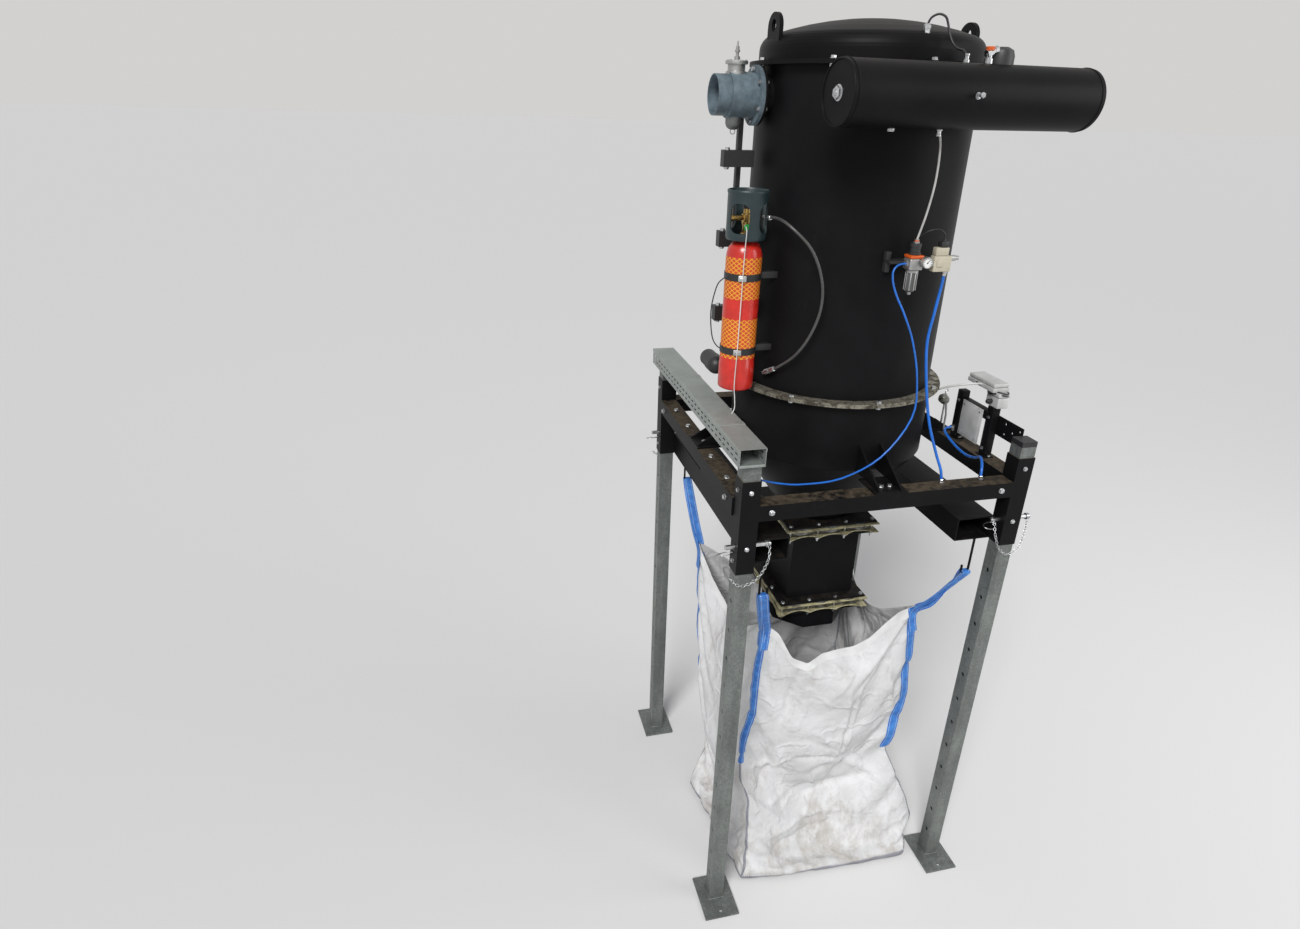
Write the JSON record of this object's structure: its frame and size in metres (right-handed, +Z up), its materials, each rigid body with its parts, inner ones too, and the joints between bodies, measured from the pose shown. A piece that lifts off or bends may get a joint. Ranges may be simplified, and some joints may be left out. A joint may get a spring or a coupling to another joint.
{
  "type": "cyclone separator",
  "caption": "Cylindrical dust separator on an adjustable four-post stand, with an air tank on its side and a flexible chute that empties into an open bulk bag.",
  "frame": {"origin": "on the ground, on the vessel axis, centred between the four posts", "axes": "+X right along the front beam, +Y to the back, +Z up"},
  "size_m": [1.4475, 1.54, 4.056],
  "materials": {
    "black_paint": "satin",
    "galvanised": "matte",
    "zinc": "satin",
    "black_plastic": "matte",
    "flange_steel": "dusty",
    "grey_casting": "gloss",
    "dark_casting": "satin",
    "pale_plastic": "satin",
    "red_paint": "gloss",
    "brass": "satin",
    "seal_sheet": "translucent",
    "woven_white": "woven",
    "blue_webbing": "woven",
    "blue_hose": "gloss",
    "grey_hose": "satin",
    "black_rubber": "matte"
  },
  "bodies": {
    "root": {"foot_plates": "galvanised", "legs": "galvanised", "post_sleeves": "black_paint", "locking_pins": "zinc", "post_caps": "black_plastic", "front_beam": "black_paint", "rear_beam": "black_paint", "left_beam": "black_paint", "right_beam": "black_paint", "fork_pockets": "black_paint", "lower_shell": "black_paint", "shell_brackets": "black_paint", "lower_flange": "flange_steel", "upper_shell": "black_paint", "shell_collar": "black_paint", "lid": "black_paint", "lifting_lugs": "black_paint", "outlet_spigot": "black_paint", "outlet_head": "grey_casting", "outlet_valve": "dark_casting", "side_inlet": "black_plastic", "side_rail": "black_paint", "air_tank": "black_paint", "tank_ends": "black_paint", "air_regulator": "black_plastic", "gauge": "pale_plastic", "control_valve": "pale_plastic", "bottle": "red_paint", "bottle_guard": "grey_casting", "bottle_valve": "brass", "bottle_straps": "black_plastic", "discharge_chute": "black_paint", "flange_seals": "seal_sheet", "big_bag": "woven_white", "bag_straps": "blue_webbing", "bag_hooks": "black_paint", "control_stand": "black_paint", "control_box": "pale_plastic", "cable_tray": "galvanised", "bottle_hose": "black_rubber", "regulator_hose": "blue_hose", "valve_hose": "blue_hose", "beam_hose": "blue_hose", "lid_hose": "black_rubber", "riser_hose": "grey_hose"}
  },
  "joints": []
}
